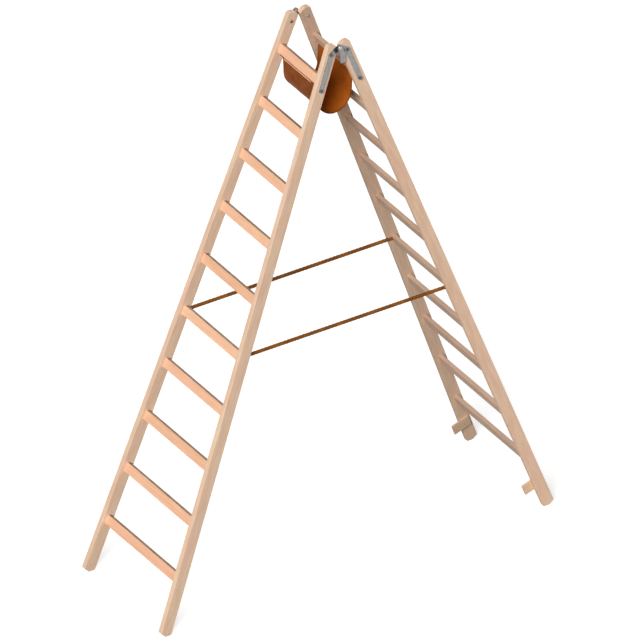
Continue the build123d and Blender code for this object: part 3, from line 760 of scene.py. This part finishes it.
def steel(name, dull, bright, rough, patch_scale, dark_round_pin=False):
    """Metal between a dull and a bright tone, brighter at its edges and in its scratches."""
    material, tree, shader = new_material(name)
    vector = add(tree, "ShaderNodeTexCoord").outputs["Object"]
    plate = place(tree, plating, Vector=vector, Patch_Scale=patch_scale)
    edge = place(tree, edge_wear_and_shade, Vector=vector, **BARED_EDGE)["Edge"]
    colour = mixed(tree, remap(tree, plate["Patches"], 0.25, 0.65), dull, bright)
    shine = sums(tree, "MAXIMUM", edge, sums(tree, "MULTIPLY", plate["Scratches"], 0.35))
    lighter = mixed(tree, 0.45, colour, BARE_STEEL)
    colour = mixed(tree, shine, colour, lighter)
    # The plate is painted near black within a ragged reach of the hinge axis.
    if dark_round_pin:
        offset = {0: vector, 1: hinge_point}
        from_hinge = add(tree, "ShaderNodeVectorMath", offset, operation="SUBTRACT").outputs[0]
        from_axis = stretched(tree, from_hinge, (0, 1, 1))
        reach = add(tree, "ShaderNodeVectorMath", {0: from_axis}, operation="LENGTH").outputs["Value"]
        uneven_reach = sums(tree, "MULTIPLY_ADD", noise(tree, vector, 70.0), DARK_PATCH_WANDER, reach)
        dark_patch = remap(tree, uneven_reach, DARK_PATCH_REACH, 0.75 * DARK_PATCH_REACH)
        colour = mixed(tree, sums(tree, "MULTIPLY", dark_patch, 0.95), colour, DARK_PATCH_BLACK)
    tree.links.new(colour, shader.inputs["Base Color"])
    uneven = remap(tree, plate["Patches"], 0.2, 0.7, rough - 0.08, rough + 0.10)
    roughness = sums(tree, "MULTIPLY_ADD", shine, -0.08, uneven)
    tree.links.new(roughness, shader.inputs["Roughness"])
    relief = {"Height": plate["Patches"], "Strength": 0.10, "Distance": 0.0003}
    bump = add(tree, "ShaderNodeBump", relief)
    tree.links.new(bump.outputs[0], shader.inputs["Normal"])
    shader.inputs["Metallic"].default_value = 1.0
    return material


def grey(level):
    """Neutral colour of steel."""
    return (level, level * 1.01, level * 1.02, 1.0)


ZINC = {"dull": grey(0.225), "bright": grey(0.320), "rough": 0.40, "patch_scale": 95.0}
DARK_TARNISH = (0.240, 0.200, 0.155, 1.0)
LIGHT_TARNISH = (0.360, 0.300, 0.235, 1.0)
plate_steel = steel("zinc plated steel", **ZINC)
pin_patched_steel = steel("zinc plated steel dark round the pin", **ZINC, dark_round_pin=True)
head_steel = steel("tarnished head steel", DARK_TARNISH, LIGHT_TARNISH, rough=0.38, patch_scale=240.0)
bolt_steel = steel("dark bolt steel", grey(0.085), grey(0.185), rough=0.42, patch_scale=240.0)
pin_steel = steel("bright pin steel", grey(0.36), grey(0.50), rough=0.24, patch_scale=180.0)
nail_steel = steel("nail wire", grey(0.14), grey(0.28), rough=0.40, patch_scale=300.0)
print("steel finishes, from", plate_steel.name, "to", nail_steel.name)

# %% Finishes onto the solids
dressed["front_near_hinge_plate"] = pin_patched_steel
for bare_plate in ("front_far", "rear_near", "rear_far"):
    dressed[f"{bare_plate}_hinge_plate"] = plate_steel
for side in ("near", "far"):
    dressed[f"{side}_hinge_pin"] = pin_steel
    dressed[f"{side}_thrust_washer"] = bolt_steel
for end in ("front", "rear"):
    dressed[f"{end}_carriage_bolts"] = head_steel
    for fastener in ("bolt_nuts", "coach_screws", "strap_washers"):
        dressed[f"{end}_{fastener}"] = bolt_steel
    dressed[f"{end}_rope_nails"] = nail_steel
    dressed[f"{end}_batten_nails"] = nail_steel
dressed["guide_block_screws"] = head_steel

for node, material in dressed.items():
    slots = frame["nodes"][node].data.materials
    slots.clear()
    slots.append(material)
replaced = sorted(set(frame["nodes"]) - set(dressed))
print("dressed solids:", len(dressed), "and replaced:", replaced)

# %% [markdown]
# ## Leather
# Thick harness leather is dyed through and waxed. Its grain side has a fine pebble pattern,
# softly clouded colour and faint streaks from the currying knife. Its flesh side, inside the
# sling, is matt and fibrous, and the cut edges are burnished dark. The pebbles could be modelled,
# but they are smaller than the sheet is thick, so bump from a Voronoi texture is enough. The
# sheet's own UV map is in metres, so the pattern bends with the leather.

# %% Leather finish
DARK_TAN = (0.205, 0.045, 0.004, 1.0)
LIGHT_TAN = (0.330, 0.087, 0.010, 1.0)
CREASE_BROWN = (0.095, 0.021, 0.004, 1.0)
DARK_FLESH = (0.265, 0.060, 0.004, 1.0)
LIGHT_FLESH = (0.375, 0.098, 0.009, 1.0)
EDGE_BROWN = (0.085, 0.022, 0.006, 1.0)
PEBBLE_SCALE = 430.0
PEBBLE_DEPTH = 0.0004
CLOUD_SCALE = 16.0
KNIFE_STREAKS = (150, 12, 1)
FLESH_FIBRES = (420, 260, 1)


def make_leather():
    """Waxed grain side, fibrous flesh side and burnished edges, on the sheet's own map."""
    material, tree, shader = new_material("harness leather")
    uv = add(tree, "ShaderNodeUVMap", uv_map="surface").outputs[0]
    flesh = add(tree, "ShaderNodeAttribute", attribute_name="flesh").outputs["Fac"]
    edge = add(tree, "ShaderNodeAttribute", attribute_name="edge").outputs["Fac"]
    pebble = {"Vector": uv, "Scale": PEBBLE_SCALE}
    cells = add(tree, "ShaderNodeTexVoronoi", pebble, feature="DISTANCE_TO_EDGE")
    crease = remap(tree, cells.outputs["Distance"], 0.16, 0.02)
    cloud = noise(tree, uv, CLOUD_SCALE, 5.0, 0.62)
    streak = noise(tree, stretched(tree, uv, KNIFE_STREAKS), 1.0, 3.0, 0.6)
    fibre = noise(tree, stretched(tree, uv, FLESH_FIBRES), 1.0, 4.0, 0.7)

    tone = sums(tree, "MULTIPLY_ADD", cloud, 0.75, sums(tree, "MULTIPLY", streak, 0.25))
    grain_side = mixed(tree, remap(tree, tone, 0.32, 0.66), DARK_TAN, LIGHT_TAN)
    grain_side = mixed(tree, sums(tree, "MULTIPLY", crease, 0.45), grain_side, CREASE_BROWN)
    nap = sums(tree, "MULTIPLY_ADD", fibre, 0.6, sums(tree, "MULTIPLY", cloud, 0.4))
    flesh_side = mixed(tree, remap(tree, nap, 0.36, 0.64), DARK_FLESH, LIGHT_FLESH)
    colour = mixed(tree, flesh, grain_side, flesh_side)
    colour = mixed(tree, sums(tree, "MULTIPLY", edge, 0.75), colour, EDGE_BROWN)
    tree.links.new(colour, shader.inputs["Base Color"])

    rough = sums(tree, "MULTIPLY_ADD", flesh, 0.28, remap(tree, tone, *NOISE_RANGE, 0.56, 0.44))
    tree.links.new(sums(tree, "MULTIPLY_ADD", edge, -0.10, rough), shader.inputs["Roughness"])
    pebbles = sums(tree, "MULTIPLY", crease, sums(tree, "SUBTRACT", flesh, 1.0))
    relief = sums(tree, "MULTIPLY_ADD", fibre, 0.5, pebbles)
    bump = add(tree, "ShaderNodeBump", {"Height": relief, "Strength": 0.4, "Distance": PEBBLE_DEPTH})
    tree.links.new(bump.outputs[0], shader.inputs["Normal"])
    shader.inputs["Specular IOR Level"].default_value = 0.06
    return material


leather = make_leather()
for piece in (pouch, *flanges):
    piece.data.materials.append(leather)
print("leather on", 1 + len(flanges), "pieces")

# %% [markdown]
# ## Rope
# Each strand is itself spun from yarns that twist the other way. They could be tubes too, but at
# this size colour and bump show them as well, with far fewer faces. The strand's UV map has the
# turn round the strand in u and metres along the rope in v, so a wave over a sum of the two draws
# slanting yarns. Across each strand the colour is painted light and shade: painted shade dark in
# the hollows between the strands, and a lighter golden brown on the crowns that face out.

# %% Rope finish
YARNS = 9  # round one strand
YARN_TWIST = 300.0  # radians along a metre of rope
# Painted light and shade across each strand: dark hollows, lighter crowns.
HOLLOW_SHADE_BROWN = (0.030, 0.009, 0.001, 1.0)
CROWN_LIT_BROWN = (0.270, 0.088, 0.010, 1.0)
GOLDEN_BROWN = (0.380, 0.138, 0.018, 1.0)
SEAM_BROWN = (0.060, 0.018, 0.002, 1.0)
HAIR_SHEEN = (0.95, 0.58, 0.20, 1.0)
FRAY_SCALE = (9, 160, 1)
HAIR_SCALE = (60, 420, 1)
PALE_STRETCHES = (0.0, 9.0, 1.0)
YARN_DEPTH = 0.0006


def make_rope_finish():
    """Twisted yarns with painted shade in the hollows between the strands, on each strand's own map."""
    material, tree, shader = new_material("laid hemp rope")
    uv = add(tree, "ShaderNodeUVMap", uv_map="surface").outputs[0]
    crown = add(tree, "ShaderNodeAttribute", attribute_name="crown").outputs["Fac"]
    parts = add(tree, "ShaderNodeSeparateXYZ", {0: uv}).outputs
    round_turn = sums(tree, "MULTIPLY", parts["X"], YARNS * 2 * math.pi)
    twist = sums(tree, "MULTIPLY_ADD", parts["Y"], -YARN_TWIST, round_turn)
    fray = noise(tree, stretched(tree, uv, FRAY_SCALE), 1.0)
    frayed = sums(tree, "MULTIPLY_ADD", fray, 2.6, twist)
    yarn = sums(tree, "MULTIPLY_ADD", sums(tree, "SINE", frayed), 0.5, 0.5)
    hair = noise(tree, stretched(tree, uv, HAIR_SCALE), 1.0, 3.0, 0.7)
    # Painted light and shade: lighter where a strand faces out, dark in the hollows.
    crown_light = remap(tree, sums(tree, "MULTIPLY_ADD", hair, 0.5, crown), 0.05, 1.20)
    pale = noise(tree, stretched(tree, uv, PALE_STRETCHES), 1.0, 2.0)
    colour = mixed(tree, crown_light, HOLLOW_SHADE_BROWN, CROWN_LIT_BROWN)
    colour = mixed(tree, remap(tree, pale, 0.45, 0.65, 0.0, 0.7), colour, GOLDEN_BROWN)
    between = sums(tree, "MULTIPLY", sums(tree, "SUBTRACT", 1.0, yarn), 0.45)
    colour = mixed(tree, between, colour, SEAM_BROWN)
    tree.links.new(colour, shader.inputs["Base Color"])
    tree.links.new(remap(tree, hair, *NOISE_RANGE, 0.72, 0.92), shader.inputs["Roughness"])
    relief = sums(tree, "MULTIPLY_ADD", hair, 0.4, yarn)
    bump = add(tree, "ShaderNodeBump", {"Height": relief, "Strength": 0.6, "Distance": YARN_DEPTH})
    tree.links.new(bump.outputs[0], shader.inputs["Normal"])
    shader.inputs["Specular IOR Level"].default_value = 0.15
    shader.inputs["Sheen Weight"].default_value = 0.10
    shader.inputs["Sheen Roughness"].default_value = 0.45
    shader.inputs["Sheen Tint"].default_value = HAIR_SHEEN
    return material


rope_finish = make_rope_finish()
for rope in ropes:
    rope.data.materials.append(rope_finish)
print("rope finish on", [rope.name for rope in ropes])

# %% [markdown]
# ## Floor and light
# The ladder stands on a pale floor in front of white. A floor that is white to the camera would
# also throw much light up from below, so its Light Path decides: the camera and mirrors see a
# white floor with a soft shadow, and light that bounces off it sees a plain dark grey. A broad
# sun from the front left models the wood: it has to be high enough to leave the inner faces of
# the rear frame darker, and low enough to leave the treads darker. A weaker sun from behind shows
# the other side of the ladder, and a dim even room fills the shadows.

# %% Floor
FLOOR_REACH = 9.0
FLOOR_TONE = (0.62, 0.62, 0.62, 1.0)
FLOOR_GLOW = 0.69  # brings the lit floor up to white
BOUNCE_TONE = (0.10, 0.10, 0.10, 1.0)
WHITE = (1.0, 1.0, 1.0, 1.0)


def seen_directly(tree):
    """1 for rays from the camera, a mirror or glass, and 0 for light on its way round the room."""
    path = add(tree, "ShaderNodeLightPath").outputs
    direct = sums(tree, "MAXIMUM", path["Is Camera Ray"], path["Is Glossy Ray"])
    return sums(tree, "MAXIMUM", direct, path["Is Transmission Ray"])


corners = np.array([[-1, -1, 0], [1, -1, 0], [1, 1, 0], [-1, 1, 0]]) * FLOOR_REACH
floor_mesh = bpy.data.meshes.new("floor")
floor_mesh.from_pydata(corners.tolist(), [], [(0, 1, 2, 3)])
floor = bpy.data.objects.new("floor", floor_mesh)
bpy.context.scene.collection.objects.link(floor)

floor_material = bpy.data.materials.new("pale floor")
floor_material.use_nodes = True
floor_tree = floor_material.node_tree
floor_tree.nodes.clear()
lit = add(floor_tree, "ShaderNodeBsdfDiffuse", {"Color": FLOOR_TONE})
glow = add(floor_tree, "ShaderNodeEmission", {"Color": WHITE, "Strength": FLOOR_GLOW})
white = add(floor_tree, "ShaderNodeAddShader", {0: lit.outputs[0], 1: glow.outputs[0]})
plain = add(floor_tree, "ShaderNodeBsdfDiffuse", {"Color": BOUNCE_TONE})
choice = {0: seen_directly(floor_tree), 1: plain.outputs[0], 2: white.outputs[0]}
chosen = add(floor_tree, "ShaderNodeMixShader", choice)
add(floor_tree, "ShaderNodeOutputMaterial", {"Surface": chosen.outputs[0]})
floor_mesh.materials.append(floor_material)
print("floor", 2 * FLOOR_REACH, "m wide")

# %% Light
ROOM_LEVEL = 0.065
SUN_COLOUR = (1.0, 0.985, 0.965)
FROM_THE_FRONT = (0.56, -0.63, 0.54)
FROM_BEHIND = (-0.56, 0.82, 0.08)


def soft_sun(name, towards, level, softness):
    """Broad parallel light from a direction; a white face square to it shows its level over pi."""
    data = bpy.data.lights.new(name, "SUN")
    data.energy = level
    data.angle = math.radians(softness)
    data.color = SUN_COLOUR
    light = bpy.data.objects.new(name, data)
    light.rotation_euler = Vector(towards).to_track_quat("Z", "Y").to_euler()
    bpy.context.scene.collection.objects.link(light)
    return light


front_light = soft_sun("front light", FROM_THE_FRONT, level=3.80, softness=30)
back_light = soft_sun("back light", FROM_BEHIND, level=2.20, softness=20)

world = bpy.data.worlds.new("white room")
world.use_nodes = True
bpy.context.scene.world = world
world_tree = world.node_tree
room_level = remap(world_tree, seen_directly(world_tree), 0.0, 1.0, ROOM_LEVEL, 1.0)
background = world_tree.nodes["Background"]
background.inputs["Color"].default_value = WHITE
world_tree.links.new(room_level, background.inputs["Strength"])
bpy.context.scene.view_settings.view_transform = "Standard"
print("lights:", front_light.name, back_light.name, world.name)
